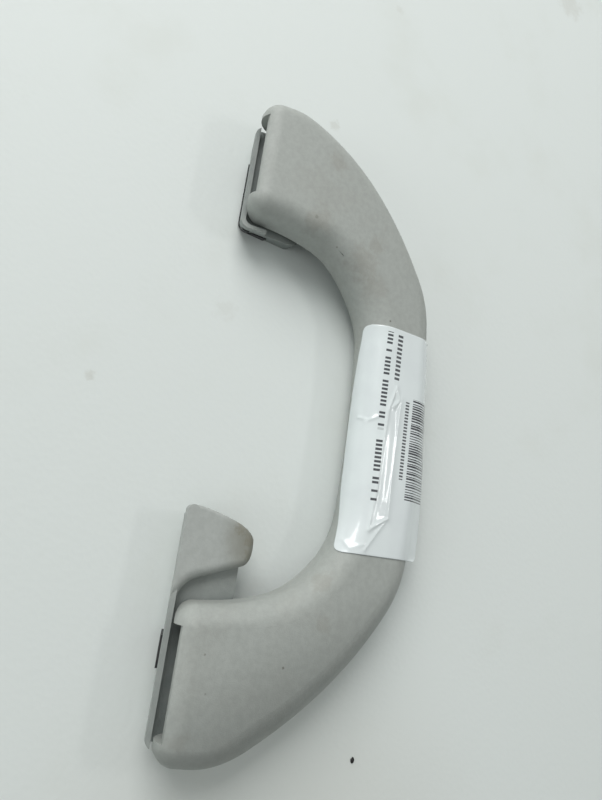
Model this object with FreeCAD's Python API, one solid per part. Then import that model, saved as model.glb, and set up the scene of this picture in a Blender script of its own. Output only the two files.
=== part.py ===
import FreeCAD, Part
import math
import os

V = FreeCAD.Vector
X_AXIS = V(1, 0, 0)
Z_AXIS = V(0, 0, 1)

# Sizes in millimetres. Z = 0 is the mounting plane, X runs along the handle,
# the hinge edge is on the +Y side and the arch opens away from it.

# Datum heights of the arch
front_z = 24.2
hinge_y = 43.2
rim_z = 10.4
rim_end_y = hinge_y - 29.0
back_turn_r = 45.0
back_turn_deg = 20.0

# Plan outline of the arch, half of it from the middle outwards
outer_apex_y = hinge_y - 89.95
outer_arcs = [(479.0, 6.0), (44.1, 29.3), (161.3, 23.9), (37.1, 34.3)]
outer_corner_r = 7.5
inner_apex_y = hinge_y - 57.4
inner_arcs = [(600.0, 3.2), (36.5, 29.8), (40.5, 39.0), (74.0, 14.0)]
inner_corner_r = 7.0
ear_reach = 1.83
crown_r = 400.0
crown_y = hinge_y - 20.0
edge_round_r = 7.0
grip_round_r = 10.0
back_round_r = 9.6
round_from_y = hinge_y - 10.0
round_to_y = hinge_y - 46.0

# Hinge
pin_r = 2.0
pin_y = hinge_y + ear_reach - edge_round_r
pin_z = front_z - edge_round_r
ear_inner_x = 78.75
outer_ear_t = 8.2
ear_low_z = pin_z - edge_round_r
pin_start_x = ear_inner_x - 5.75
pin_end_gap = 1.7
barrel_r = 4.2
barrel_gap = 0.5
barrel_side_gap = 0.5
run_gap = 0.06

# Hollow of the feet
wall = 2.6
hollow_top_z = 20.4
hollow_end_y = hinge_y - 40.0
rib_t = 1.8
rib_xs = (84.0, 96.0, 108.0)
rib_end_y = hinge_y - 27.0

# Brackets
rear_lip_y = hinge_y + 3.95
front_lip_y = hinge_y + 1.9
lip_t = 1.75
lip_h = 1.5
floor_z = 9.0
base_back_y = hinge_y - 24.0
rear_base_y = hinge_y + 0.7
front_base_y = hinge_y - 0.5
rear_lip_z = 15.0
front_lip_z = 12.0
end_lip_x = ear_inner_x - 10.55
base_inner_x = end_lip_x + 2.2
base_slant_x = 2.6
front_lip_past_ear = 0.2
rear_lip_past_ear = 3.8
base_past_ear = 1.8
bracket_wall = 2.0
web_t = 3.2
boss_r = 5.4
hole_r = 3.1
hole_y = hinge_y - 15.4
first_hole_x = ear_inner_x + 4.75
hole_spacing = 20.0
sleeve_t = 0.8

# Coat hook on the rear bracket
hook_end_x = 40.3
hook_plate_t = 3.6
hook_lean = 0.8
hook_tip_y = hinge_y - 22.6
hook_root_t = 4.4
hook_roll_t = 3.0
hook_roll_r = 4.2
hook_edge_r = 1.0
hook_floor_t = 3.0
hook_floor_end_x = 52.0
hook_floor_back_y = hinge_y - 19.8

# Black steel retainer clips
retainer_t = 0.8
front_retainer_t = 0.5
clip_band_z = 1.6
clip_end_y = hinge_y - 11.5
clip_from_x = ear_inner_x + 9.25
clip_to_x = ear_inner_x + 21.05
tab_from_x = ear_inner_x + 4.65
tab_w = 10.2
tab_top_z = 12.3

# Spring and damper
wire_r = 0.5
coil_r = 2.62
coil_turns = 9
coil_start_deg = -45.0
segments_per_turn = 16
spring_leg_y = 11.0
spring_from_ear = 10.8
spring_w = 12.9
sleeve_r = 3.15
damper_length = 18.25

# Screw covers
cover_t = 1.2
cover_from_x = ear_inner_x - 2.25
cover_before_ear = 3.0
cover_front_y = hinge_y - 10.6
cover_back_y = hinge_y - 21.6

# Parts label on the grip
label_t = 0.22
label_gap = 0.1
label_from_x = -49.3
label_to_x = 41.5
label_inner_z = 8.2
label_corner_z = 15.0
label_corner_r = 2.0
label_split_y = inner_apex_y - 18.0
label_outer_z = 9.9
flap_from_x = 18.0
flap_middle_x = -15.0
flap_leave_deg = 62.0
flap_lap_deg = 4.0
flap_lap_x = 0.6
flap_inset = 0.04
flap_length = 10.7
flap_middle_bow_r = 19.0
flap_end_bow_r = 40.0


def arc_chain(start, heading, arcs):
    """Tangent arcs from a start point; a positive turn is to the left."""
    edges = []
    point = start
    angle = heading
    for radius, turn in arcs:
        side = 1 if turn > 0 else -1
        normal = angle + side * 90
        centre = point + V(math.cos(math.radians(normal)), math.sin(math.radians(normal)), 0) * radius

        def at(share):
            spoke = math.radians(normal + 180 + turn * share)
            return centre + V(math.cos(spoke), math.sin(spoke), 0) * radius

        middle = at(0.5)
        end = at(1.0)
        edges.append(Part.Arc(point, middle, end).toShape())
        point = end
        angle += turn
    return edges, point, angle


def step(point, angle, length):
    """A straight run, returned as its edge and its end point."""
    end = point + V(math.cos(math.radians(angle)), math.sin(math.radians(angle)), 0) * length
    return Part.makeLine(point, end), end


def half_outline(grow):
    """Outer and inner contour of one half, moved outwards by grow."""
    ear_y = hinge_y + ear_reach + grow
    outer, point, angle = arc_chain(
        V(0, outer_apex_y - grow, 0), 0, [(r + grow, t) for r, t in outer_arcs])
    corner_r = outer_corner_r + grow
    rise = corner_r * (math.cos(math.radians(angle)) + 1)
    run, point = step(point, angle, (ear_y - rise - point.y) / math.sin(math.radians(angle)))
    corner, outer_end, _ = arc_chain(point, angle, [(corner_r, 180 - angle)])
    outer = outer + [run] + corner

    inner, point, angle = arc_chain(
        V(0, inner_apex_y + grow, 0), 0, [(r - grow, t) for r, t in inner_arcs])
    corner_r = inner_corner_r + grow
    rise = corner_r * (1 - math.cos(math.radians(angle)))
    run, point = step(point, angle, (ear_y - rise - point.y) / math.sin(math.radians(angle)))
    corner, inner_end, _ = arc_chain(point, angle, [(corner_r, -angle)])
    inner = inner + [run] + corner
    return outer, inner, Part.makeLine(outer_end, inner_end)


outer_edges, inner_edges, hinge_edge = half_outline(0.0)
foot_end_x = max(edge.BoundBox.XMax for edge in outer_edges)
ear_outer_x = foot_end_x - outer_ear_t
pin_end_x = foot_end_x - pin_end_gap
front_lip_end_x = ear_outer_x + front_lip_past_ear
rear_lip_end_x = ear_outer_x + rear_lip_past_ear
base_end_x = ear_outer_x + base_past_ear
hole_xs = (first_hole_x, first_hole_x + hole_spacing)
spring_from_x = ear_outer_x - spring_from_ear - spring_w
spring_to_x = spring_from_x + spring_w
damper_to_x = ear_inner_x + damper_length
cover_to_x = ear_outer_x - cover_before_ear


def arch_face(grow=0.0):
    """Plan face of the whole arch."""
    outer, inner, hinge_line = half_outline(grow)
    right = outer + [hinge_line] + inner
    left = [edge.mirror(V(0, 0, 0), X_AXIS) for edge in right]
    wire = Part.Wire(Part.__sortEdges__(right + left))
    return Part.Face(wire)


def front_radius(y):
    """Front rounding: tight at the hinge ears, full on the grip."""
    share = (round_from_y - y) / (round_from_y - round_to_y)
    share = min(1.0, max(0.0, share))
    return edge_round_r + (grip_round_r - edge_round_r) * share


def round_front(body, grow):
    """Rounds the front edge with a radius that follows the place along Y."""
    document = FreeCAD.newDocument("rounding")
    base = document.addObject("Part::Feature", "base")
    base.Shape = body
    rounding = document.addObject("Part::Fillet", "rounding")
    rounding.Base = base
    rows = []
    for number, edge in enumerate(body.Edges, 1):
        mid = edge.valueAt((edge.FirstParameter + edge.LastParameter) / 2)
        if mid.z > front_z - 6.5:
            first = front_radius(edge.Vertexes[0].Point.y) + grow
            last = front_radius(edge.Vertexes[-1].Point.y) + grow
            rows.append((number, first, last))
    rounding.Edges = rows
    document.recompute()
    result = rounding.Shape.copy()
    FreeCAD.closeDocument(document.Name)
    return result.Solids[0]


def arch_body(grow=0.0):
    """Solid arch with a crowned front and rounded front and back edges."""
    body = arch_face(grow).extrude(V(0, 0, front_z + grow))
    radius = crown_r + grow
    crown = Part.makeCylinder(radius, 300, V(-150, crown_y, front_z + grow - radius), X_AXIS)
    body = body.common(crown).Solids[0]
    body = round_front(body, grow)
    back_edges = [edge for edge in body.Edges if abs(edge.BoundBox.ZMax) < 0.01]
    return body.makeFillet(back_round_r, back_edges)


def box(x0, x1, y0, y1, z0, z1):
    """A box between two corners."""
    low = V(min(x0, x1), min(y0, y1), min(z0, z1))
    return Part.makeBox(abs(x1 - x0), abs(y1 - y0), abs(z1 - z0), low)


def rod(radius, x0, x1, y=pin_y, z=pin_z):
    """A round bar along X."""
    return Part.makeCylinder(radius, abs(x1 - x0), V(min(x0, x1), y, z), X_AXIS)


def yz_prism(points, x0, x1):
    """A prism along X from corners given as (y, z)."""
    corners = [V(x0, y, z) for y, z in points]
    face = Part.Face(Part.makePolygon(corners + [corners[0]]))
    return face.extrude(V(x1 - x0, 0, 0))


def rounded_outline(corners, radius, z):
    """Closed wire through plan corners, each rounded with the same radius."""
    edges = []
    tangents = []
    count = len(corners)
    for i in range(count):
        corner = V(corners[i][0], corners[i][1], z)
        before = V(corners[i - 1][0], corners[i - 1][1], z) - corner
        after = V(corners[(i + 1) % count][0], corners[(i + 1) % count][1], z) - corner
        half = before.getAngle(after) / 2
        before.normalize()
        after.normalize()
        inward = (before + after).normalize()
        setback = radius / math.tan(half)
        middle = corner + inward * (radius / math.sin(half) - radius)
        tangents.append((corner + before * setback, middle, corner + after * setback))
    for i in range(count):
        start, middle, end = tangents[i]
        edges.append(Part.Arc(start, middle, end).toShape())
        edges.append(Part.makeLine(end, tangents[(i + 1) % count][0]))
    return Part.Wire(edges)


def rounded_plate(x0, x1, y0, y1, radius, z, slant=0.0):
    """Rounded rectangle; slant sets its hinge-side corner back at the x0 end."""
    return rounded_outline([(x0, y0), (x1, y0), (x1, y1), (x0 + slant, y1)], radius, z)


def to_side(shape, side):
    """Shapes are made on the +X side; the other side is their mirror image."""
    if side > 0:
        return shape
    return shape.mirror(V(0, 0, 0), X_AXIS)


# Grip

def foot_hollow(body_face):
    """Room inside one foot for the bracket, with ribs left standing."""
    inner = body_face.makeOffset2D(-wall)
    room = inner.extrude(V(0, 0, hollow_top_z + 1)).translated(V(0, 0, -1))
    room = room.common(box(foot_end_x / 2, foot_end_x, hollow_end_y, hinge_y - 8.0, -1, hollow_top_z))
    for x in rib_xs:
        room = room.cut(box(x - rib_t / 2, x + rib_t / 2, hollow_end_y, rib_end_y, -1, 30))
    low_ear = box(ear_inner_x, ear_outer_x, hinge_y - 10.0, pin_y, -1, pin_z)
    barrel_room = rod(barrel_r + barrel_gap, ear_inner_x, ear_outer_x)
    lip_room = box(ear_inner_x, ear_outer_x, pin_y + 4.0, hinge_y + 6, -1, pin_z + 2.3)
    low_room = box(ear_inner_x, ear_outer_x, pin_y - 1, hinge_y + 6, -1, pin_z)
    return room.fuse([low_ear, barrel_room, lip_room, low_room])


def back_clearance():
    """Room under the feet: level at the rim, then curving down to the table."""
    def on_turn(degrees):
        angle = math.radians(degrees)
        return V(-130, rim_end_y - back_turn_r * math.sin(angle), rim_z - back_turn_r * (1 - math.cos(angle)))

    turned = on_turn(back_turn_deg)
    run = (turned.z + 1) / math.tan(math.radians(back_turn_deg))
    low_hinge = V(-130, hinge_y + 8, -1)
    high_hinge = V(-130, hinge_y + 8, rim_z)
    low_grip = V(-130, turned.y - run, -1)
    outline = Part.Wire([
        Part.makeLine(low_hinge, high_hinge),
        Part.makeLine(high_hinge, on_turn(0)),
        Part.Arc(on_turn(0), on_turn(back_turn_deg / 2), turned).toShape(),
        Part.makeLine(turned, low_grip),
        Part.makeLine(low_grip, low_hinge),
    ])
    return Part.Face(outline).extrude(V(260, 0, 0))


def make_grip():
    """Arch with open-backed feet, hinge ears, notch and pin bores."""
    body = arch_body().cut(back_clearance())
    face = arch_face()
    ear_round = box(-130, 130, pin_y, hinge_y + 6, -1, pin_z).cut(rod(edge_round_r, -131, 131))
    body = body.cut(ear_round)
    hollow = foot_hollow(face)
    for side in (1, -1):
        body = body.cut(to_side(hollow, side))
        notch = box(ear_inner_x, ear_outer_x, hinge_y, hinge_y + 10, -1, 40)
        body = body.cut(to_side(notch, side))
        bore = rod(pin_r, pin_start_x, foot_end_x + 5)
        body = body.cut(to_side(bore, side))
    return body.Solids[0]


# Brackets

def bracket_shell(lip_y, lip_z, lip_end_x, base_y, end_lip_y):
    """Drafted tray with a thin lip round the hinge side and, down to end_lip_y, the inner end."""
    foot = rounded_plate(base_inner_x, base_end_x, base_back_y, base_y, 3.0, 0, base_slant_x)
    brim = rounded_plate(end_lip_x, lip_end_x, base_back_y, lip_y, 3.4, lip_z - lip_h)
    tray = Part.makeLoft([foot, brim], True, True)
    lip = Part.Face(brim).extrude(V(0, 0, lip_h))
    tray = tray.fuse(lip)
    inside = rounded_plate(end_lip_x + 1.5, 140, 0, lip_y - lip_t, 2.6, floor_z)
    tray = tray.cut(Part.Face(inside).extrude(V(0, 0, 20)))
    tray = tray.cut(box(60, end_lip_x + 5, base_back_y - 1, end_lip_y, floor_z, 30))
    return tray


def bracket_base(lip_y, lip_z, lip_end_x, base_y, end_lip_y):
    """Tray with its pocket, screw bosses and holes."""
    tray = bracket_shell(lip_y, lip_z, lip_end_x, base_y, end_lip_y)
    pocket = rounded_plate(base_inner_x + bracket_wall, base_end_x - bracket_wall,
                           base_back_y + bracket_wall, base_y - bracket_wall, 1.0, -1, base_slant_x)
    pocket = Part.Face(pocket).extrude(V(0, 0, floor_z - 1.4))
    for x in hole_xs:
        pocket = pocket.cut(Part.makeCylinder(boss_r, 20, V(x, hole_y, -1)))
    middle = sum(hole_xs) / 2
    pocket = pocket.cut(box(middle - 1, middle + 1, base_back_y, base_y, -1, 20))
    tray = tray.cut(pocket)
    for x in hole_xs:
        tray = tray.cut(Part.makeCylinder(hole_r + sleeve_t, 30, V(x, hole_y, -1)))
    return tray


def barrel(x0, x1):
    """Hinge barrel standing on its web."""
    tube = rod(barrel_r, x0, x1)
    web = box(x0, x1, pin_y - web_t / 2, pin_y + web_t / 2, floor_z - 1, pin_z)
    return tube.fuse(web)


def make_front_bracket():
    """Bracket of the front foot; its barrel is parted for the spring."""
    shape = bracket_base(front_lip_y, front_lip_z, front_lip_end_x, front_base_y, hinge_y - 9.0)
    first = barrel(ear_inner_x + barrel_side_gap, spring_from_x - 0.6)
    second = barrel(spring_to_x + 0.6, ear_outer_x - barrel_side_gap)
    shape = shape.fuse([first, second])
    shape = shape.cut(rod(pin_r + run_gap, 60, 125))
    return shape.removeSplitter()


def coat_hook():
    """Hook that carries the lip on past the foot, drawn on the +X side."""
    lip_y = rear_lip_y
    root_y = lip_y - hook_root_t
    root_end_x = end_lip_x + 7.0
    rim = Part.BSplineCurve()
    rim.interpolate([
        V(hook_end_x, lip_y - hook_lean - 2.6, 0), V(hook_end_x + 0.7, lip_y - 9.0, 0),
        V(hook_end_x + 2.3, lip_y - 15.0, 0), V(hook_end_x + 7.0, hook_tip_y + 1.6, 0),
        V(hook_end_x + 8.6, hook_tip_y + 0.4, 0), V(hook_end_x + 11.0, hook_tip_y, 0),
        V(hook_end_x + 14.5, hook_tip_y + 0.1, 0), V(hook_end_x + 17.9, hook_tip_y + 1.7, 0),
        V(hook_end_x + 19.4, hook_tip_y + 5.0, 0), V(hook_end_x + 22.0, root_y - 10.0, 0),
        V(hook_end_x + 23.6, root_y - 5.4, 0), V(hook_end_x + 25.4, root_y - 1.7, 0),
        V(hook_end_x + 29.2, root_y + 1.2, 0), V(root_end_x, lip_y - lip_t, 0),
    ])
    outline = Part.Wire([
        Part.makeLine(V(root_end_x, lip_y, 0), V(hook_end_x + 1.6, lip_y - hook_lean, 0)),
        Part.Arc(V(hook_end_x + 1.6, lip_y - hook_lean, 0), V(hook_end_x + 0.3, lip_y - hook_lean - 0.9, 0),
                 V(hook_end_x, lip_y - hook_lean - 2.6, 0)).toShape(),
        rim.toShape(),
        Part.makeLine(V(root_end_x, lip_y - lip_t, 0), V(root_end_x, lip_y, 0)),
    ])
    plate_low_z = rear_lip_z - hook_plate_t
    tongue = Part.Face(outline).extrude(V(0, 0, hook_plate_t + hook_roll_t))
    tongue = tongue.translated(V(0, 0, plate_low_z - hook_roll_t))
    top_rim = [edge for edge in tongue.Edges if isinstance(edge.Curve, Part.BSplineCurve)
               and abs(edge.BoundBox.ZMin - rear_lip_z) < 0.01]
    tongue = tongue.makeFillet(hook_edge_r, hook_roll_r, top_rim)
    tongue = tongue.cut(box(hook_end_x - 1, hook_end_x + 12.5, 0, 60, 0, plate_low_z))
    tongue = tongue.cut(box(hook_end_x - 1, 90, lip_y - 3.0, 60, 0, plate_low_z))
    draft = yz_prism([(lip_y, rear_lip_z - lip_h), (rear_base_y, 0.0), (60, 0.0),
                      (60, rear_lip_z - lip_h)], hook_end_x - 1, root_end_x + 1)
    return tongue.cut(draft)


def make_rear_bracket():
    """Bracket of the rear foot with the coat hook moulded on."""
    shape = bracket_base(rear_lip_y, rear_lip_z, rear_lip_end_x, rear_base_y, rear_lip_y - lip_t)
    shape = shape.fuse(barrel(ear_inner_x + barrel_side_gap, ear_outer_x - barrel_side_gap))
    tongue = coat_hook()
    root = yz_prism([(rear_lip_y - hook_lean, 11.5), (rear_base_y, 0.0),
                     (rear_base_y - 3.0, 0.0), (rear_lip_y - 5.2, 12.0)],
                    hook_end_x + 3.0, end_lip_x + 6)
    root = root.cut(box(hook_end_x + 22.0, end_lip_x + 8, 0, rear_lip_y - 2.9, floor_z, 20))
    root = root.cut(box(end_lip_x + 2.5, end_lip_x + 8, 0, 60, ear_low_z - 0.3, 20))
    floor = box(hook_floor_end_x, base_inner_x + 6, hook_floor_back_y, rear_base_y - 1.0,
                floor_z - hook_floor_t, floor_z)
    shape = shape.cut(box(60, base_inner_x + 1.0, 0, hook_floor_back_y, -1, 40))
    shape = shape.fuse([tongue, root, floor])
    shape = shape.cut(rod(pin_r + run_gap, 60, 125))
    shape = shape.cut(rod(sleeve_r + run_gap, ear_inner_x, damper_to_x))
    return to_side(shape.removeSplitter(), -1)


# Small pieces

def make_pin(side):
    """Hinge pin with broken edges."""
    pin = rod(pin_r, pin_start_x, pin_end_x)
    rims = [edge for edge in pin.Edges if isinstance(edge.Curve, Part.Circle)]
    return to_side(pin.makeChamfer(0.3, rims), side)


def make_spring():
    """Torsion spring round the front pin: one leg on the bracket, one in the grip."""
    start_x = spring_from_x + wire_r
    run = spring_to_x - spring_from_x - 2 * wire_r
    first = math.radians(coil_start_deg)
    span = math.radians(360 * coil_turns + 90 - coil_start_deg)
    steps = int(round(span / (2 * math.pi) * segments_per_turn))
    path = []
    for i in range(steps + 1):
        turn = first + span * i / steps
        path.append(V(start_x + run * i / steps, pin_y + coil_r * math.cos(turn), pin_z + coil_r * math.sin(turn)))
    drop = path[0].z - floor_z - wire_r
    path.insert(0, V(start_x, path[0].y - drop * math.tan(math.radians(90 + coil_start_deg)), floor_z + wire_r))
    path.append(V(start_x + run, pin_y - spring_leg_y, pin_z + coil_r))
    corners = [V(path[0].x + wire_r * math.cos(a), path[0].y + wire_r * math.sin(a), path[0].z)
               for a in [math.pi * k / 4 for k in range(8)]]
    profile = Part.makePolygon(corners + [corners[0]])
    sweep = Part.BRepOffsetAPI.MakePipeShell(Part.makePolygon(path))
    sweep.setTransitionMode(1)
    sweep.add(profile)
    sweep.build()
    sweep.makeSolid()
    return sweep.shape()


def make_damper_sleeve():
    """Damper sleeve on the rear pin inside the bracket barrel."""
    sleeve = rod(sleeve_r, ear_inner_x + 0.1, damper_to_x - 0.3).cut(rod(pin_r, 60, 130))
    return to_side(sleeve, -1)


def make_cover(side):
    """Screw cover lying on the bracket floor over both screws."""
    plate = Part.Face(rounded_plate(cover_from_x, cover_to_x, cover_back_y, cover_front_y, 2.5,
                                    floor_z)).extrude(V(0, 0, cover_t))
    return to_side(plate, side)


def make_sleeves(side):
    """Steel sleeves pressed into the screw holes of one bracket."""
    solids = []
    for x in hole_xs:
        tube = Part.makeCylinder(hole_r + sleeve_t, floor_z, V(x, hole_y, 0))
        tube = tube.cut(Part.makeCylinder(hole_r, 30, V(x, hole_y, -1)))
        solids.append(to_side(tube, side))
    return Part.makeCompound(solids)


def make_retainer(side, x0, x1):
    """Black steel clip lying up the outer face of the rear bracket."""
    slope = (rear_lip_y - rear_base_y) / (rear_lip_z - lip_h)
    low_y = rear_base_y
    high_y = rear_base_y + slope * tab_top_z
    tab = yz_prism([(low_y, 0.0), (low_y + retainer_t, 0.0),
                    (high_y + retainer_t, tab_top_z), (high_y, tab_top_z)], x0, x1)
    return to_side(tab, side)


def make_front_retainer():
    """Clip band round the inner end and hinge side of the front bracket."""
    def shell(grow):
        low = rounded_plate(base_inner_x - grow, base_end_x + grow, base_back_y - grow,
                            front_base_y + grow, 3.0 + grow, 0, base_slant_x)
        high = rounded_plate(end_lip_x - grow, front_lip_end_x + grow, base_back_y - grow,
                             front_lip_y + grow, 3.4 + grow, front_lip_z - lip_h)
        return Part.makeLoft([low, high], True, True)

    band = box(60, clip_to_x, clip_end_y, hinge_y + 8, 0, clip_band_z)
    end_tab = box(60, 78, clip_end_y, hinge_y - 5.0, 0, 5.0)
    corner_tab = box(60, 76, hinge_y - 3.6, hinge_y - 0.6, 0, 6.5)
    side_tab = box(clip_from_x, clip_to_x, front_base_y - 2, hinge_y + 8, 0, 5.0)
    zone = band.fuse([end_tab, corner_tab, side_tab])
    return shell(front_retainer_t).cut(shell(0.0)).common(zone)


def grip_round_centre(x):
    """Centre of the outer front rounding of the grip at one place along X."""
    y = outer_apex_y + x * x / (2 * outer_arcs[0][0]) + grip_round_r
    reach = crown_r - grip_round_r
    return y, front_z - crown_r + math.sqrt(reach ** 2 - (y - crown_y) ** 2)


def flap_section(x, bow_r):
    """Closed section of the loose label edge: it leaves the grip and bows with its own radius."""
    y, z = grip_round_centre(x)
    leave = math.radians(flap_leave_deg)
    low = grip_round_r + label_gap + flap_inset
    high = low + label_t - 2 * flap_inset
    pivot_y = y - (low - bow_r) * math.cos(leave)
    pivot_z = z + (low - bow_r) * math.sin(leave)

    def hug(radius, degrees):
        angle = math.radians(degrees)
        return V(x, y - radius * math.cos(angle), z + radius * math.sin(angle))

    def free(offset, share):
        angle = leave - flap_length * share / bow_r
        radius = bow_r + offset
        return V(x, pivot_y - radius * math.cos(angle), pivot_z + radius * math.sin(angle))

    lap = flap_leave_deg + flap_lap_deg
    half = flap_leave_deg + flap_lap_deg / 2
    return Part.Wire([
        Part.Arc(hug(low, lap), hug(low, half), free(0, 0)).toShape(),
        Part.Arc(free(0, 0), free(0, 0.5), free(0, 1)).toShape(),
        Part.makeLine(free(0, 1), free(high - low, 1)),
        Part.Arc(free(high - low, 1), free(high - low, 0.5), free(high - low, 0)).toShape(),
        Part.Arc(free(high - low, 0), hug(high, half), hug(high, lap)).toShape(),
        Part.makeLine(hug(high, lap), hug(low, lap)),
    ])


def label_front_zone():
    """Where the label covers the front and wraps down the inner wall."""
    left = V(label_from_x, label_split_y, label_corner_z)
    right = V(label_to_x, label_split_y, label_corner_z)
    middle = V((label_from_x + label_to_x) / 2, label_split_y, label_inner_z)
    top_left = V(label_from_x, label_split_y, front_z + 5)
    top_right = V(label_to_x, label_split_y, front_z + 5)
    outline = Part.Wire([
        Part.Arc(left, middle, right).toShape(),
        Part.makeLine(right, top_right),
        Part.makeLine(top_right, top_left),
        Part.makeLine(top_left, left),
    ])
    zone = Part.Face(outline).extrude(V(0, inner_apex_y + 12 - label_split_y, 0))
    corners = [edge for edge in zone.Edges if edge.BoundBox.YLength > 1
               and edge.BoundBox.ZLength < 0.01 and abs(edge.BoundBox.ZMax - label_corner_z) < 0.01]
    return zone.makeFillet(label_corner_r, corners)


def make_label():
    """Thin label wrapped over the front of the grip; one long edge has come loose."""
    skin = arch_body(label_gap + label_t).cut(arch_body(label_gap))
    flank_part = box(label_from_x, label_to_x, outer_apex_y - 5, label_split_y, label_outer_z, front_z + 5)
    leave_z = grip_round_centre(flap_from_x)[1] + grip_round_r * math.sin(math.radians(flap_leave_deg + 1))
    loose = box(label_from_x - 1, flap_from_x, outer_apex_y - 5, outer_apex_y + 12, 0, leave_z)
    stuck = skin.common(label_front_zone().fuse(flank_part).removeSplitter()).cut(loose)
    flap = Part.makeLoft([flap_section(label_from_x, flap_end_bow_r),
                          flap_section(flap_middle_x, flap_middle_bow_r),
                          flap_section(flap_from_x + flap_lap_x, grip_round_r + label_gap + flap_inset)], True, False)
    return stuck.fuse(flap).Solids[0]


def save(name, shape):
    """Write one node."""
    shape.exportStep("parts/" + name + ".step")
    print(name, "solids", len(shape.Solids), "valid", shape.isValid(), "volume", round(shape.Volume))


os.makedirs("parts", exist_ok=True)
save("grip", make_grip())
save("front_bracket", make_front_bracket())
save("rear_bracket", make_rear_bracket())
save("front_pin", make_pin(1))
save("rear_pin", make_pin(-1))
save("return_spring", make_spring())
save("damper_sleeve", make_damper_sleeve())
save("front_cover", make_cover(1))
save("rear_cover", make_cover(-1))
save("front_sleeves", make_sleeves(1))
save("rear_sleeves", make_sleeves(-1))
save("rear_retainer", make_retainer(-1, tab_from_x, tab_from_x + tab_w))
save("front_retainer", make_front_retainer())
save("label", make_label())
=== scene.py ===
import bmesh
import bpy
import math
from mathutils import Matrix, Vector, noise
from mathutils.bvhtree import BVHTree


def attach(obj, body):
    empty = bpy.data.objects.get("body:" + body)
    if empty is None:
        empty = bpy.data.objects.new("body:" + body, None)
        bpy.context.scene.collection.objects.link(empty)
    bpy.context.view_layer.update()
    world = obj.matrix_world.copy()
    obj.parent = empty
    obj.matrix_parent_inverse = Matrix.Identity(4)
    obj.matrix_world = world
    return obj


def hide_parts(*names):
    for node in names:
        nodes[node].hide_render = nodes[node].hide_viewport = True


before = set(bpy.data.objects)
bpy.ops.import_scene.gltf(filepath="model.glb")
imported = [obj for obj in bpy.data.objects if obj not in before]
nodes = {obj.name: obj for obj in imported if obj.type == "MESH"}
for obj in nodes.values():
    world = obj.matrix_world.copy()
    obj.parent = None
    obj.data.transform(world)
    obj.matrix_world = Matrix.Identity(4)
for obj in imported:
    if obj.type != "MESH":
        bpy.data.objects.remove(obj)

scene = bpy.context.scene
mm = 0.001


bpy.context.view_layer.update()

# Camera, at the place and angle the handle was photographed from
cameraLook = {
    "place": (-0.04979, 0.09664, 0.22011),
    "right": (0.133774, -0.901064, 0.412539),
    "up": (0.962256, 0.217656, 0.163371),
    "ahead": (0.237000, -0.375113, -0.896170),
    "filmHeight": 24.0,
    "lens": 18.0,
}


def placeCamera(look):
    data = bpy.data.cameras.new("photoCamera")
    data.sensor_fit = "VERTICAL"
    data.sensor_height = look["filmHeight"]
    data.lens = look["lens"]
    data.clip_start = 0.01
    camera = bpy.data.objects.new("photoCamera", data)
    right = Vector(look["right"])
    up = Vector(look["up"])
    back = -Vector(look["ahead"])
    turned = Matrix((right, up, back)).transposed().to_4x4()
    camera.matrix_world = Matrix.Translation(look["place"]) @ turned
    scene.collection.objects.link(camera)
    scene.camera = camera


placeCamera(cameraLook)
print("camera placed")

# Lights: a wide soft lamp from the upper left of the picture, a faint one from the left, a small one
# for the glints on the label, and a pale sky
lightLook = {
    "lamps": [
        ("softLamp", (1.02, 0.52, 0.96), (1.0, 1.0), 18.7, (1.0, 0.99, 0.985)),
        ("sideLamp", (-0.49, 1.75, 0.70), (0.8, 0.8), 5.5, (0.97, 1.0, 1.0)),
        ("glintLamp", (0.15, -0.66, 0.74), (0.23, 0.07), 0.72, (1.0, 1.0, 1.0)),
    ],
    "skyColor": (0.965, 1.0, 0.985),
    "skyLow": 0.315,
    "skyHigh": 0.455,
}


def placeLights(look):
    for name, place, size, watts, color in look["lamps"]:
        data = bpy.data.lights.new(name, "AREA")
        data.shape = "RECTANGLE"
        data.size, data.size_y = size
        data.energy = watts
        data.color = color
        lamp = bpy.data.objects.new(name, data)
        turn = (-Vector(place)).to_track_quat("-Z", "Y").to_matrix().to_4x4()
        lamp.matrix_world = Matrix.Translation(place) @ turn
        scene.collection.objects.link(lamp)
    sky = bpy.data.worlds.new("paleSky")
    sky.use_nodes = True
    background = sky.node_tree.nodes["Background"]
    background.inputs["Color"].default_value = (*look["skyColor"], 1.0)
    # The sky is brighter over the far end of the table than over the near one
    tree = sky.node_tree
    facing = tree.nodes.new("ShaderNodeTexCoord")
    parts = tree.nodes.new("ShaderNodeSeparateXYZ")
    tree.links.new(facing.outputs["Generated"], parts.inputs["Vector"])
    level = tree.nodes.new("ShaderNodeMapRange")
    level.inputs["From Min"].default_value = -1.0
    level.inputs["From Max"].default_value = 1.0
    level.inputs["To Min"].default_value = look["skyLow"]
    level.inputs["To Max"].default_value = look["skyHigh"]
    tree.links.new(parts.outputs["X"], level.inputs["Value"])
    tree.links.new(level.outputs["Result"], background.inputs["Strength"])
    scene.world = sky
    scene.view_settings.view_transform = "Standard"


placeLights(lightLook)
print("lights placed")


# Small helpers for node trees
def addNode(tree, kind, inputs=None, **settings):
    node = tree.nodes.new(kind)
    for name, value in settings.items():
        setattr(node, name, value)
    for key, value in (inputs or {}).items():
        if isinstance(value, bpy.types.NodeSocket):
            tree.links.new(value, node.inputs[key])
        else:
            node.inputs[key].default_value = value
    return node


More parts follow.
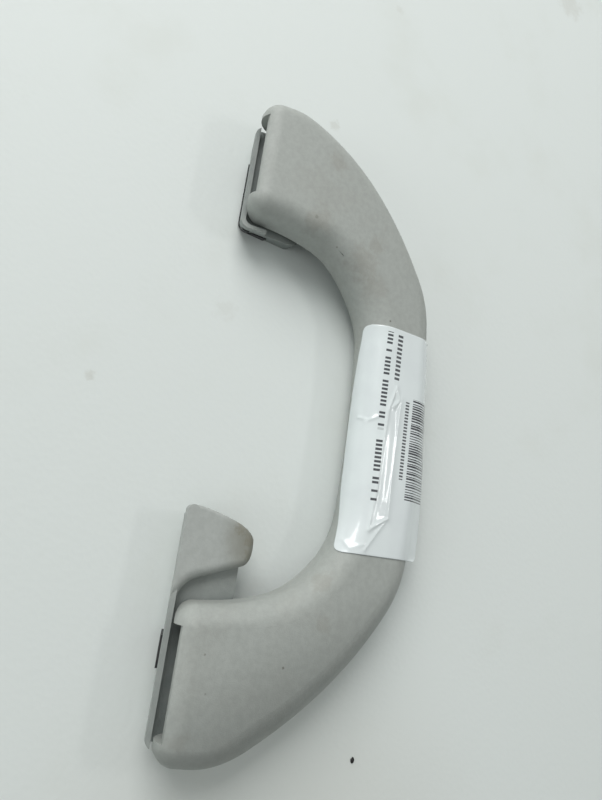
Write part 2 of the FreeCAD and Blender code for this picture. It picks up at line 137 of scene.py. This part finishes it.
def newGroup(name, inputs, outputs):
    group = bpy.data.node_groups.new(name, "ShaderNodeTree")
    for label, kind, value in inputs:
        socket = group.interface.new_socket(label, in_out="INPUT", socket_type=kind)
        socket.default_value = value
    for label, kind in outputs:
        group.interface.new_socket(label, in_out="OUTPUT", socket_type=kind)
    return group, group.nodes.new("NodeGroupInput"), group.nodes.new("NodeGroupOutput")


def useGroup(tree, group, inputs=None):
    node = tree.nodes.new("ShaderNodeGroup")
    node.node_tree = group
    for key, value in (inputs or {}).items():
        if isinstance(value, bpy.types.NodeSocket):
            tree.links.new(value, node.inputs[key])
        else:
            node.inputs[key].default_value = value
    return node


def newMaterial(name, shaderValues):
    material = bpy.data.materials.new(name)
    material.use_nodes = True
    tree = material.node_tree
    shader = tree.nodes["Principled BSDF"]
    for key, value in shaderValues.items():
        shader.inputs[key].default_value = value
    return material, tree, shader


def objectPoint(tree):
    return addNode(tree, "ShaderNodeTexCoord").outputs["Object"]


def ramp(tree, value, fromLow, fromHigh, toLow=0.0, toHigh=1.0):
    node = addNode(tree, "ShaderNodeMapRange", {"Value": value, "From Min": fromLow, "From Max": fromHigh,
                                                "To Min": toLow, "To Max": toHigh})
    node.interpolation_type = "SMOOTHSTEP"
    return node.outputs["Result"]


def maths(tree, operation, first, second=0.0):
    return addNode(tree, "ShaderNodeMath", {0: first, 1: second}, operation=operation).outputs[0]


def vectorMaths(tree, operation, first, second):
    return addNode(tree, "ShaderNodeVectorMath", {0: first, 1: second}, operation=operation).outputs


def mixColors(tree, share, first, second):
    node = tree.nodes.new("ShaderNodeMix")
    node.data_type = "RGBA"
    for index, value in ((0, share), (6, first), (7, second)):
        if isinstance(value, bpy.types.NodeSocket):
            tree.links.new(value, node.inputs[index])
        else:
            node.inputs[index].default_value = value
    return node.outputs[2]


# Shared effects
def buildSpot():
    # One soft-edged mark round a point, broken up by noise
    group, given, made = newGroup("spotMark", [
        ("Center", "NodeSocketVector", (0.0, 0.0, 0.0)),
        ("Radius", "NodeSocketFloat", 0.01),
        ("Ragged", "NodeSocketFloat", 0.4),
        ("Strength", "NodeSocketFloat", 1.0),
    ], [("Mask", "NodeSocketFloat")])
    point = objectPoint(group)
    away = vectorMaths(group, "DISTANCE", point, given.outputs["Center"])["Value"]
    share = maths(group, "DIVIDE", away, given.outputs["Radius"])
    finer = maths(group, "DIVIDE", 1.6, given.outputs["Radius"])
    cloud = addNode(group, "ShaderNodeTexNoise", {"Vector": point, "Scale": finer, "Detail": 4.0,
                                                  "Roughness": 0.65})
    shift = maths(group, "SUBTRACT", cloud.outputs["Fac"], 0.5)
    shift = maths(group, "MULTIPLY", shift, given.outputs["Ragged"])
    share = maths(group, "ADD", share, maths(group, "MULTIPLY", shift, 4.0))
    mask = ramp(group, share, 0.25, 1.0, 1.0, 0.0)
    mask = maths(group, "MULTIPLY", mask, given.outputs["Strength"])
    group.links.new(mask, made.inputs["Mask"])
    return group


skinLook = {
    "cloudScale": 38.0,
    "cloudRange": (0.46, 0.72),
    "fleckScale": 420.0,
    "fleckRange": (0.95, 1.05),
    "speckScale": 85.0,
    "speckSize": (0.018, 0.05),
    "speckChosen": (0.72, 0.76),
    "roughRange": (0.50, 0.62),
    "grainScale": 2600.0,
}


def buildMouldedSkin(look):
    # Spark-eroded moulding skin: fine grain, faint clouding and scattered specks
    group, given, made = newGroup("mouldedSkin", [
        ("Color", "NodeSocketColor", (0.4, 0.4, 0.4, 1.0)),
        ("Cloud Color", "NodeSocketColor", (0.3, 0.3, 0.3, 1.0)),
        ("Speck Color", "NodeSocketColor", (0.1, 0.1, 0.09, 1.0)),
        ("Clouding", "NodeSocketFloat", 0.4),
        ("Specks", "NodeSocketFloat", 1.0),
    ], [("Color", "NodeSocketColor"), ("Roughness", "NodeSocketFloat"), ("Grain", "NodeSocketFloat")])
    point = objectPoint(group)
    broad = addNode(group, "ShaderNodeTexNoise", {"Vector": point, "Scale": look["cloudScale"],
                                                  "Detail": 5.0, "Roughness": 0.62, "Distortion": 0.4})
    cloud = ramp(group, broad.outputs["Fac"], *look["cloudRange"])
    cloud = maths(group, "MULTIPLY", cloud, given.outputs["Clouding"])
    color = mixColors(group, cloud, given.outputs["Color"], given.outputs["Cloud Color"])
    tint = addNode(group, "ShaderNodeTexNoise", {"Vector": point, "Scale": look["fleckScale"],
                                                 "Detail": 3.0, "Roughness": 0.7})
    fleck = ramp(group, tint.outputs["Fac"], 0.3, 0.7, *look["fleckRange"])
    color = addNode(group, "ShaderNodeVectorMath", {0: color, 3: fleck}, operation="SCALE").outputs["Vector"]
    cells = addNode(group, "ShaderNodeTexVoronoi", {"Vector": point, "Scale": look["speckScale"],
                                                     "Randomness": 1.0})
    speck = ramp(group, cells.outputs["Distance"], *look["speckSize"], 1.0, 0.0)
    chosen = addNode(group, "ShaderNodeSeparateColor", {"Color": cells.outputs["Color"]})
    chosen = ramp(group, chosen.outputs["Red"], *look["speckChosen"])
    speck = maths(group, "MULTIPLY", maths(group, "MULTIPLY", speck, chosen), given.outputs["Specks"])
    color = mixColors(group, speck, color, given.outputs["Speck Color"])
    rough = ramp(group, broad.outputs["Fac"], 0.3, 0.75, *look["roughRange"])
    grain = addNode(group, "ShaderNodeTexNoise", {"Vector": point, "Scale": look["grainScale"],
                                                  "Detail": 2.0, "Roughness": 0.55})
    group.links.new(color, made.inputs["Color"])
    group.links.new(rough, made.inputs["Roughness"])
    group.links.new(grain.outputs["Fac"], made.inputs["Grain"])
    return group


def buildScratch():
    # A fine scratch between two points: distance from the line through them
    group, given, made = newGroup("fineScratch", [
        ("From", "NodeSocketVector", (0.0, 0.0, 0.0)),
        ("To", "NodeSocketVector", (0.0, 0.0, 0.0)),
        ("Width", "NodeSocketFloat", 0.0003),
    ], [("Mask", "NodeSocketFloat")])
    point = objectPoint(group)
    span = vectorMaths(group, "SUBTRACT", given.outputs["To"], given.outputs["From"])["Vector"]
    reach = vectorMaths(group, "SUBTRACT", point, given.outputs["From"])["Vector"]
    along = vectorMaths(group, "DOT_PRODUCT", reach, span)["Value"]
    whole = vectorMaths(group, "DOT_PRODUCT", span, span)["Value"]
    share = addNode(group, "ShaderNodeMath", {0: along, 1: whole}, operation="DIVIDE",
                    use_clamp=True).outputs[0]
    nearest = addNode(group, "ShaderNodeVectorMath", {0: span, 3: share}, operation="SCALE")
    away = vectorMaths(group, "DISTANCE", reach, nearest.outputs["Vector"])["Value"]
    wobble = addNode(group, "ShaderNodeTexNoise", {"Vector": point, "Scale": 300.0, "Detail": 2.0})
    wander = maths(group, "MULTIPLY", maths(group, "SUBTRACT", wobble.outputs["Fac"], 0.5), 0.9 * mm)
    away = maths(group, "ABSOLUTE", maths(group, "ADD", away, wander))
    share = maths(group, "DIVIDE", away, given.outputs["Width"])
    group.links.new(ramp(group, share, 0.4, 1.4, 1.0, 0.0), made.inputs["Mask"])
    return group


spotMark = buildSpot()
mouldedSkin = buildMouldedSkin(skinLook)
fineScratch = buildScratch()


def darkened(tree, color, marks, markColor):
    # Lays every mark over the colour in turn
    for mask in marks:
        color = mixColors(tree, mask, color, markColor)
    return color


def mouldedPlastic(name, look):
    material, tree, shader = newMaterial(name, {"IOR": 1.46, "Specular IOR Level": look["shine"]})
    skin = useGroup(tree, mouldedSkin, {"Color": look["color"], "Cloud Color": look["cloudColor"],
                                        "Speck Color": look["speckColor"], "Clouding": look["clouding"],
                                        "Specks": look["specks"]})
    color = skin.outputs["Color"]
    # Marks laid over the skin colour: stains, specks and scratches, and on the brackets one wide mark of
    # painted shade on the hook's tip
    for markColor, spots in look["spots"]:
        masks = []
        for place, radius, ragged, strength in spots:
            center = Vector(place) * mm
            spot = useGroup(tree, spotMark, {"Center": center, "Radius": radius * mm, "Ragged": ragged,
                                             "Strength": strength})
            masks.append(spot.outputs["Mask"])
        color = darkened(tree, color, masks, markColor)
    for start, end, width, markColor in look["scratches"]:
        line = useGroup(tree, fineScratch, {"From": Vector(start) * mm, "To": Vector(end) * mm,
                                            "Width": width * mm})
        color = mixColors(tree, line.outputs["Mask"], color, markColor)
    tree.links.new(color, shader.inputs["Base Color"])
    tree.links.new(skin.outputs["Roughness"], shader.inputs["Roughness"])
    bump = addNode(tree, "ShaderNodeBump", {"Height": skin.outputs["Grain"],
                                            "Strength": look["grainStrength"], "Distance": 0.2 * mm})
    tree.links.new(bump.outputs["Normal"], shader.inputs["Normal"])
    return material


def dress(names, material):
    for name in names:
        data = nodes[name].data
        data.materials.clear()
        data.materials.append(material)


# Grip
gripLook = {
    "color": (0.342, 0.363, 0.342, 1.0),
    "cloudColor": (0.315, 0.325, 0.300, 1.0),
    "speckColor": (0.13, 0.125, 0.105, 1.0),
    "clouding": 0.35,
    "specks": 0.55,
    "shine": 0.42,
    "grainStrength": 0.35,
    "spots": [
        ((0.245, 0.235, 0.200, 1.0), [
            ((103.0, 12.5, 24.0), 5.5, 0.5, 0.30),
            ((75.0, 17.0, 24.0), 8.5, 0.5, 0.32),
            ((73.5, -9.7, 23.8), 5.5, 0.6, 0.32),
            ((63.8, -4.8, 23.0), 9.0, 0.6, 0.36),
            ((56.0, -12.0, 22.5), 8.0, 0.6, 0.26),
            ((-60.0, -3.5, 21.5), 6.0, 0.7, 0.30),
            ((-74.8, -5.9, 23.0), 4.0, 0.6, 0.24),
            ((-112.0, 39.0, 22.0), 5.0, 0.6, 0.20),
        ]),
        ((0.10, 0.095, 0.075, 1.0), [
            ((75.7, 18.6, 24.0), 1.1, 0.3, 0.35),
            ((73.5, -9.9, 23.8), 0.7, 0.3, 0.5),
            ((43.1, -13.4, 19.0), 0.8, 0.3, 0.9),
            ((43.8, -20.7, 21.5), 0.6, 0.3, 0.8),
            ((61.3, -39.2, 17.0), 1.0, 0.5, 0.8),
            ((56.0, -41.5, 16.5), 0.7, 0.5, 0.7),
            ((-89.2, 7.6, 23.8), 0.65, 0.3, 0.7),
            ((-86.5, 35.2, 24.1), 0.55, 0.3, 0.5),
            ((-98.0, 33.0, 24.1), 0.5, 0.3, 0.4),
            ((-116.9, 42.0, 20.5), 0.9, 0.3, 0.6),
        ]),
    ],
    "scratches": [
        ((64.8, -18.1, 22.6), (77.0, -24.4, 22.6), 0.22, (0.22, 0.22, 0.20, 1.0)),
        ((66.5, -17.0, 22.7), (71.0, -19.0, 22.8), 0.16, (0.25, 0.25, 0.22, 1.0)),
    ],
    "bend": ((-0.894, -0.447, 0.0), 0.0644, 8.8),
}
gripPlastic = mouldedPlastic("gripPlastic", gripLook)


def addBend(material, look):
    # The face curves away softly beyond a line: the rear foot's far corner, the hook's tip
    tree = material.node_tree
    direction, start, steepness = look["bend"]
    reach = vectorMaths(tree, "DOT_PRODUCT", objectPoint(tree), direction)["Value"]
    beyond = maths(tree, "MAXIMUM", maths(tree, "SUBTRACT", reach, start), 0.0)
    fall = maths(tree, "MULTIPLY", maths(tree, "MULTIPLY", beyond, beyond), -steepness)
    bend = addNode(tree, "ShaderNodeBump", {"Height": fall, "Strength": 1.0, "Distance": 1.0})
    grain = tree.nodes["Principled BSDF"].inputs["Normal"].links[0].from_node
    tree.links.new(bend.outputs["Normal"], grain.inputs["Normal"])


addBend(gripPlastic, gripLook)
dress(["grip"], gripPlastic)

# Brackets and screw covers
bracketLook = {
    "color": (0.360, 0.381, 0.363, 1.0),
    "cloudColor": (0.32, 0.335, 0.312, 1.0),
    "speckColor": (0.13, 0.125, 0.105, 1.0),
    "clouding": 0.25,
    "specks": 0.4,
    "shine": 0.42,
    "grainStrength": 0.28,
    "spots": [
        # The wide smooth mark on the hook's tip is partly dirt and partly painted shade where the tip curves
        # away
        ((0.235, 0.235, 0.195, 1.0), [
            ((-50.0, 19.0, 15.0), 17.0, 0.12, 0.75),
        ]),
        ((0.20, 0.18, 0.125, 1.0), [
            ((-45.5, 26.0, 15.0), 3.4, 0.8, 0.4),
            ((-49.5, 22.5, 15.0), 3.2, 0.8, 0.4),
            ((-54.5, 22.3, 15.0), 2.4, 0.8, 0.3),
        ]),
        ((0.09, 0.085, 0.065, 1.0), [
            ((-48.4, 28.6, 17.5), 1.1, 0.3, 0.55),
            ((-51.6, 24.2, 17.0), 1.1, 0.4, 0.70),
            ((-55.2, 23.6, 16.5), 0.9, 0.4, 0.40),
        ]),
    ],
    "scratches": [],
    "bend": ((0.0, -1.0, 0.0), -0.0355, 15.0),
}
bracketPlastic = mouldedPlastic("bracketPlastic", bracketLook)
addBend(bracketPlastic, bracketLook)


def addChannelShade(material, look):
    # Painted shade: the colour darkens deep in the hinge channel and along the thin lip beside it, where
    # shade falls
    tree = material.node_tree
    shader = tree.nodes["Principled BSDF"]
    unshadedColor = shader.inputs["Base Color"].links[0].from_socket
    point = objectPoint(tree)
    place = addNode(tree, "ShaderNodeSeparateXYZ", {"Vector": point})
    cloud = addNode(tree, "ShaderNodeTexNoise", {"Vector": point, "Scale": 130.0, "Detail": 4.0})
    bottom, top = look["deepZ"]
    deep = ramp(tree, place.outputs["Z"], bottom * mm, top * mm, look["deep"], 0.0)
    reach = maths(tree, "ABSOLUTE", place.outputs["X"])
    inner, outer = look["lipX"]
    beside = ramp(tree, reach, inner * mm, outer * mm, 0.0, look["lip"])
    share = maths(tree, "ADD", deep, beside)
    uneven = ramp(tree, cloud.outputs["Fac"], 0.3, 0.7, 0.8, 1.1)
    share = addNode(tree, "ShaderNodeMath", {0: share, 1: uneven}, operation="MULTIPLY",
                    use_clamp=True).outputs[0]
    tree.links.new(mixColors(tree, share, unshadedColor, look["color"]), shader.inputs["Base Color"])


# Painted shade in the hinge channel: its colour, how far it darkens below deepZ, and along the lip between
# lipX
channelShadeLook = {
    "color": (0.176, 0.203, 0.196, 1.0),
    "deep": 0.35,
    "deepZ": (8.5, 13.5),
    "lip": 0.42,
    "lipX": (65.5, 74.5),
}
addChannelShade(bracketPlastic, channelShadeLook)
dress(["front_bracket", "rear_bracket", "front_cover", "rear_cover"], bracketPlastic)
print("plastics ready")


# Metal and small parts
def drawnSteel(name, look):
    material, tree, shader = newMaterial(name, {"Metallic": look["metallic"]})
    point = objectPoint(tree)
    stretch = addNode(tree, "ShaderNodeMapping", {"Vector": point, "Scale": look["stretch"]})
    lines = addNode(tree, "ShaderNodeTexNoise", {"Vector": stretch.outputs["Vector"], "Scale": look["scale"],
                                                 "Detail": 4.0, "Roughness": 0.6})
    stain = addNode(tree, "ShaderNodeTexNoise", {"Vector": point, "Scale": 160.0, "Detail": 4.0})
    share = ramp(tree, stain.outputs["Fac"], 0.45, 0.75)
    color = mixColors(tree, share, look["color"], look["stainColor"])
    rough = ramp(tree, lines.outputs["Fac"], 0.3, 0.7, look["rough"][0], look["rough"][1])
    tree.links.new(color, shader.inputs["Base Color"])
    tree.links.new(rough, shader.inputs["Roughness"])
    bump = addNode(tree, "ShaderNodeBump", {"Height": lines.outputs["Fac"], "Strength": look["bump"],
                                            "Distance": 0.1 * mm})
    tree.links.new(bump.outputs["Normal"], shader.inputs["Normal"])
    return material


steelLooks = {
    "pinSteel": {"nodes": ["front_pin", "rear_pin"], "metallic": 1.0, "color": (0.55, 0.55, 0.56, 1.0),
                 "stainColor": (0.40, 0.38, 0.36, 1.0), "stretch": (0.05, 1.0, 1.0), "scale": 3000.0,
                 "rough": (0.25, 0.42), "bump": 0.15},
    "springSteel": {"nodes": ["return_spring"], "metallic": 1.0, "color": (0.36, 0.36, 0.38, 1.0),
                    "stainColor": (0.25, 0.24, 0.23, 1.0), "stretch": (1.0, 1.0, 1.0), "scale": 1800.0,
                    "rough": (0.3, 0.5), "bump": 0.15},
    "sleeveSteel": {"nodes": ["front_sleeves", "rear_sleeves"], "metallic": 1.0,
                    "color": (0.60, 0.57, 0.46, 1.0), "stainColor": (0.48, 0.42, 0.28, 1.0),
                    "stretch": (1.0, 1.0, 0.1), "scale": 1500.0, "rough": (0.3, 0.5), "bump": 0.2},
    "clipBlack": {"nodes": ["front_retainer", "rear_retainer"], "metallic": 0.0,
                  "color": (0.022, 0.023, 0.025, 1.0), "stainColor": (0.05, 0.05, 0.05, 1.0),
                  "stretch": (1.0, 1.0, 1.0), "scale": 900.0, "rough": (0.4, 0.6), "bump": 0.25},
    "damperPlastic": {"nodes": ["damper_sleeve"], "metallic": 0.0, "color": (0.68, 0.68, 0.64, 1.0),
                      "stainColor": (0.55, 0.53, 0.46, 1.0), "stretch": (1.0, 1.0, 1.0), "scale": 900.0,
                      "rough": (0.4, 0.55), "bump": 0.1},
}
for steelName, steelLook in steelLooks.items():
    dress(steelLook["nodes"], drawnSteel(steelName, steelLook))
print("metal ready")

# Label: glossy film over the grip, with creases and a loose edge
labelLook = {
    "rowsAlong": 250,
    "rowsAcross": 150,
    "scan": 260,
    "scanFrom": -10.0,
    "scanSpan": 205.0,
    "rayFrom": 50.0,
    "rayLength": 45.0,
    "halvings": 14,
    "smoothings": 2,
    "centre": (-30.5, 9.0),
    "fromX": -49.25,
    "toX": 41.45,
    "thickness": 0.2,
    "cornerRound": 2.8,
    "endTrim": (20.0, 2.2),
    "creases": [
        ([(17.0, -27.0), (7.1, -24.0), (-8.0, -23.1), (-24.8, -22.4), (-40.1, -20.5)], 0.46, 0.75),
        ([(-40.1, -20.5), (-37.8, -23.5), (-34.8, -28.7)], 0.50, 0.75),
        ([(-34.8, -28.7), (-20.2, -29.0), (7.6, -29.6), (13.0, -30.0)], 0.26, 1.2),
        ([(-34.8, -28.7), (-41.0, -24.0), (-47.5, -19.5)], 0.30, 0.75),
        ([(2.9, -14.8), (1.8, -17.0), (3.7, -20.0)], 0.34, 0.6),
        ([(17.0, -27.0), (12.0, -29.0), (9.0, -26.5)], 0.42, 0.9),
        ([(-45.0, -12.0), (-47.5, -14.0), (-45.5, -19.0)], 0.24, 0.8),
    ],
    "blister": ((-12.0, -26.0), (25.0, 3.4), 0.22),
    "ripple": (0.05, 110.0),
    "looseFrom": 0.84,
    "looseRise": (0.0, -0.05, 1.30),
    "looseCurl": 1.7,
    "creaseAbove": 0.3,
}


def distanceToPath(x, y, path):
    best = 1e9
    for start, end in zip(path, path[1:]):
        dx = end[0] - start[0]
        dy = end[1] - start[1]
        share = ((x - start[0]) * dx + (y - start[1]) * dy) / (dx * dx + dy * dy)
        share = min(1.0, max(0.0, share))
        best = min(best, math.hypot(x - start[0] - share * dx, y - start[1] - share * dy))
    return best


def creaseHeight(point, look):
    x = point.x / mm
    y = point.y / mm
    height = 0.0
    for path, rise, width in look["creases"]:
        away = distanceToPath(x, y, path) / width
        height = max(height, rise * math.exp(-away ** 1.4))
    (middleX, middleY), (reachX, reachY), rise = look["blister"]
    across = ((x - middleX) / reachX) ** 2 + ((y - middleY) / reachY) ** 2
    height += rise * max(0.0, 1.0 - across) ** 1.5
    size, scale = look["ripple"]
    height += size * noise.noise(point * scale)
    return height


def labelSection(tree, x, look):
    # Points across the label at one place along it, evenly spaced by length
    middleY, middleZ = look["centre"]
    middle = Vector((x, middleY, middleZ)) * mm

    def at(angle):
        ray = Vector((0.0, math.cos(angle), math.sin(angle)))
        return tree.ray_cast(middle + ray * look["rayFrom"] * mm, -ray, look["rayLength"] * mm)[0]

    angles = [math.radians(look["scanFrom"] + look["scanSpan"] * i / look["scan"])
              for i in range(look["scan"] + 1)]
    struck = [angle for angle in angles if at(angle) is not None]
    first, last = struck[0], struck[-1]
    step = angles[1] - angles[0]
    for side, edge in ((-1, first), (1, last)):
        inside, outside = edge, edge + side * step
        for _ in range(look["halvings"]):
            half = (inside + outside) / 2
            if at(half) is None:
                outside = half
            else:
                inside = half
        if side < 0:
            first = inside
        else:
            last = inside
    line = [at(first + (last - first) * i / look["scan"]) for i in range(look["scan"] + 1)]
    line = [point for point in line if point is not None]
    lengths = [0.0]
    for before, after in zip(line, line[1:]):
        lengths.append(lengths[-1] + (after - before).length)
    # Rounded corners: the sections near both ends are a little shorter
    corner = look["cornerRound"]
    near = max(0.0, corner - min(x - look["fromX"], look["toX"] - x))
    inset = corner - math.sqrt(corner ** 2 - near ** 2)
    reach, trim = look["endTrim"]
    trim *= max(0.0, 1.0 - (x - look["fromX"]) / reach) ** 2
    section = []
    place = 0
    for i in range(look["rowsAcross"]):
        share = i / (look["rowsAcross"] - 1)
        wanted = (inset + trim) * mm + (lengths[-1] - (2.0 * inset + trim) * mm) * share
        while place < len(line) - 2 and lengths[place + 1] < wanted:
            place += 1
        share = (wanted - lengths[place]) / max(1e-9, lengths[place + 1] - lengths[place])
        section.append(line[place].lerp(line[place + 1], share))
    return section


def makeLabel(look):
    source = bmesh.new()
    source.from_mesh(nodes["label"].data)
    bmesh.ops.remove_doubles(source, verts=source.verts, dist=1e-6)
    tree = BVHTree.FromBMesh(source)
    sheet = bmesh.new()
    bmesh.ops.create_grid(sheet, x_segments=look["rowsAlong"] - 1, y_segments=look["rowsAcross"] - 1,
                          size=1.0)
    sections = []
    for i in range(look["rowsAlong"]):
        x = look["fromX"] + (look["toX"] - look["fromX"]) * i / (look["rowsAlong"] - 1)
        sections.append(labelSection(tree, x, look))
    across = {}
    for vert in sheet.verts:
        column = round((vert.co.x + 1.0) / 2.0 * (look["rowsAlong"] - 1))
        row = round((vert.co.y + 1.0) / 2.0 * (look["rowsAcross"] - 1))
        across[vert.index] = row / (look["rowsAcross"] - 1)
        vert.co = sections[column][row]
    for _ in range(look["smoothings"]):
        inner = [vert for vert in sheet.verts if not vert.is_boundary]
        bmesh.ops.smooth_vert(sheet, verts=inner, factor=0.5, use_axis_x=True, use_axis_y=True,
                              use_axis_z=True)
    bmesh.ops.recalc_face_normals(sheet, faces=sheet.faces)
    upright = sum(face.normal.z for face in sheet.faces)
    if upright < 0.0:
        bmesh.ops.reverse_faces(sheet, faces=sheet.faces)
    sheet.normal_update()
    lifts = [(vert, vert.normal.copy(), creaseHeight(vert.co, look)) for vert in sheet.verts]
    for vert, normal, height in lifts:
        if normal.z > look["creaseAbove"]:
            vert.co += normal * height * mm
        loose = max(0.0, (across[vert.index] - look["looseFrom"]) / (1.0 - look["looseFrom"]))
        vert.co += Vector(look["looseRise"]) * mm * loose ** look["looseCurl"]
    for face in sheet.faces:
        face.smooth = True
    data = bpy.data.meshes.new("labelFilm")
    sheet.to_mesh(data)
    sheet.free()
    source.free()
    film = bpy.data.objects.new("labelFilm", data)
    scene.collection.objects.link(film)
    thick = film.modifiers.new("thickness", "SOLIDIFY")
    thick.thickness = look["thickness"] * mm
    thick.offset = -1.0
    return film


printLook = {
    "filmColor": (0.70, 0.755, 0.755, 1.0),
    "cloudColor": (0.66, 0.71, 0.715, 1.0),
    "cloudScale": 60.0,
    "rough": (0.16, 0.26),
    "inkColor": (0.035, 0.037, 0.045, 1.0),
    "barsX": (-26.5, 14.4),
    "barsY": -36.2,
    "barPitch": 1.02,
    "barWidth": (0.36, 0.80),
    "strokeWidth": (0.16, 0.74),
    "strokeInk": 0.95,
    "strokes": [
        ((19.5, 39.5), -26.6, 1.25, 1.80, -1.0),
        ((-29.5, 39.5), -21.6, 1.20, 1.62, 0.17),
        ((-19.0, 12.5), -33.4, 0.95, 1.30, -1.0),
    ],
}


def band(tree, value, low, high, soft):
    rise = ramp(tree, value, low - soft, low + soft)
    fall = ramp(tree, value, high - soft, high + soft, 1.0, 0.0)
    return maths(tree, "MULTIPLY", rise, fall)


def chanceOf(tree, count):
    # A random number for each counted cell
    return addNode(tree, "ShaderNodeTexWhiteNoise", {"W": count}, noise_dimensions="1D").outputs["Value"]


def labelMaterial(look):
    material, tree, shader = newMaterial("labelFilm", {"IOR": 1.5, "Coat Weight": 0.6,
                                                       "Coat Roughness": 0.05})
    point = objectPoint(tree)
    place = addNode(tree, "ShaderNodeSeparateXYZ", {"Vector": point})
    x = maths(tree, "MULTIPLY", place.outputs["X"], 1000.0)
    y = maths(tree, "MULTIPLY", place.outputs["Y"], 1000.0)
    cell = maths(tree, "DIVIDE", x, look["barPitch"])
    chance = chanceOf(tree, maths(tree, "FLOOR", cell))
    thin, thick = look["barWidth"]
    barShare = addNode(tree, "ShaderNodeMapRange", {"Value": chance, "To Min": thin, "To Max": thick})
    bars = maths(tree, "LESS_THAN", maths(tree, "FRACT", cell), barShare.outputs["Result"])
    bars = maths(tree, "MULTIPLY", bars, band(tree, x, look["barsX"][0], look["barsX"][1], 0.05))
    ink = maths(tree, "MULTIPLY", bars, ramp(tree, y, look["barsY"] - 0.08, look["barsY"] + 0.08, 1.0, 0.0))
    for (low, high), middle, half, pitch, gapShare in look["strokes"]:
        cell = maths(tree, "DIVIDE", x, pitch)
        inCell = maths(tree, "FRACT", cell)
        chance = chanceOf(tree, maths(tree, "FLOOR", cell))
        stroke = maths(tree, "MULTIPLY", ramp(tree, chance, gapShare - 0.02, gapShare + 0.02),
                       band(tree, inCell, *look["strokeWidth"], 0.05))
        stroke = maths(tree, "MULTIPLY", stroke, band(tree, x, low, high, 0.05))
        stroke = maths(tree, "MULTIPLY", stroke, band(tree, y, middle - half, middle + half, 0.08))
        ink = maths(tree, "MAXIMUM", ink, maths(tree, "MULTIPLY", stroke, look["strokeInk"]))
    tone = addNode(tree, "ShaderNodeTexNoise", {"Vector": point, "Scale": look["cloudScale"], "Detail": 3.0})
    paper = mixColors(tree, ramp(tree, tone.outputs["Fac"], 0.35, 0.7), look["filmColor"],
                      look["cloudColor"])
    tree.links.new(mixColors(tree, ink, paper, look["inkColor"]), shader.inputs["Base Color"])
    rough = ramp(tree, tone.outputs["Fac"], 0.3, 0.7, *look["rough"])
    tree.links.new(rough, shader.inputs["Roughness"])
    return material


labelFilm = makeLabel(labelLook)
labelFilm.data.materials.append(labelMaterial(printLook))
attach(labelFilm, "handle")
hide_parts("label")
print("label ready")

# Table top
tableLook = {
    "halfSize": 1.4,
    "color": (0.660, 0.702, 0.684, 1.0),
    "stainColor": (0.636, 0.675, 0.648, 1.0),
    "cloudScale": 16.0,
    "smudgeAndShadeColor": (0.45, 0.45, 0.40, 1.0),
    "rough": 0.6,
    "grain": 0.25,
    "weaveScale": 420.0,
    "weaveTurn": 32.0,
    "smudgesAndShade": [
        ((289.5, -135.2), 12.0, 0.5, 0.30),
        ((139.3, 6.6), 3.5, 0.5, 0.30),
        ((-0.8, 86.2), 2.5, 0.5, 0.35),
        ((219.9, -19.9), 3.0, 0.5, 0.18),
        ((37.0, 42.2), 6.0, 0.5, 0.14),
        # This wide smooth mark is painted shadow darkening the near end of the table
        ((-172.0, -8.0), 115.0, 0.02, 0.30),
    ],
}


def makeTable(look):
    plate = bmesh.new()
    bmesh.ops.create_grid(plate, x_segments=8, y_segments=8, size=look["halfSize"])
    data = bpy.data.meshes.new("tableTop")
    plate.to_mesh(data)
    plate.free()
    table = bpy.data.objects.new("tableTop", data)
    scene.collection.objects.link(table)
    material, tree, shader = newMaterial("tablePaint", {"Roughness": look["rough"],
                                                        "Specular IOR Level": 0.3})
    point = objectPoint(tree)
    cloud = addNode(tree, "ShaderNodeTexNoise", {"Vector": point, "Scale": look["cloudScale"], "Detail": 4.0,
                                                 "Roughness": 0.6})
    share = ramp(tree, cloud.outputs["Fac"], 0.5, 0.75)
    color = mixColors(tree, share, look["color"], look["stainColor"])
    # Small stains on the table, and the wide mark of painted shadow over its near end
    for (x, y), radius, ragged, strength in look["smudgesAndShade"]:
        spot = useGroup(tree, spotMark, {"Center": Vector((x, y, 0.0)) * mm, "Radius": radius * mm,
                                         "Ragged": ragged, "Strength": strength})
        color = mixColors(tree, spot.outputs["Mask"], color, look["smudgeAndShadeColor"])
    tree.links.new(color, shader.inputs["Base Color"])
    # Embossed sheet: a fine slanting weave
    slant = (0.0, 0.0, math.radians(look["weaveTurn"]))
    turned = addNode(tree, "ShaderNodeMapping", {"Vector": point, "Rotation": slant})
    weave = addNode(tree, "ShaderNodeTexVoronoi", {"Vector": turned.outputs["Vector"],
                                                   "Scale": look["weaveScale"], "Randomness": 0.75})
    bump = addNode(tree, "ShaderNodeBump", {"Height": weave.outputs["Distance"],
                                            "Strength": look["grain"], "Distance": 0.2 * mm})
    tree.links.new(bump.outputs["Normal"], shader.inputs["Normal"])
    data.materials.append(material)


crumbLook = {
    "place": (-125.4, -37.0, 0.0),
    "radius": 0.8,
    "stretch": 1.3,
    "squash": 0.6,
    "sunk": 0.2,
    "ragged": (0.5, 2500.0),
    "color": (0.01, 0.01, 0.01, 1.0),
}


def makeCrumb(look):
    # One dark crumb that lies on the table
    ragged, fine = look["ragged"]
    foot = look["sunk"] * mm
    grain = bmesh.new()
    bmesh.ops.create_icosphere(grain, subdivisions=2, radius=look["radius"] * mm)
    for vert in grain.verts:
        vert.co.x *= look["stretch"]
        vert.co *= 1.0 + ragged * noise.noise(vert.co * fine)
        vert.co.z = max(vert.co.z * look["squash"], -foot) + foot
        vert.co += Vector(look["place"]) * mm
    data = bpy.data.meshes.new("crumb")
    grain.to_mesh(data)
    grain.free()
    crumb = bpy.data.objects.new("crumb", data)
    scene.collection.objects.link(crumb)
    data.materials.append(newMaterial("crumbDark", {"Base Color": look["color"], "Roughness": 0.7})[0])


makeTable(tableLook)
makeCrumb(crumbLook)
print("table ready")
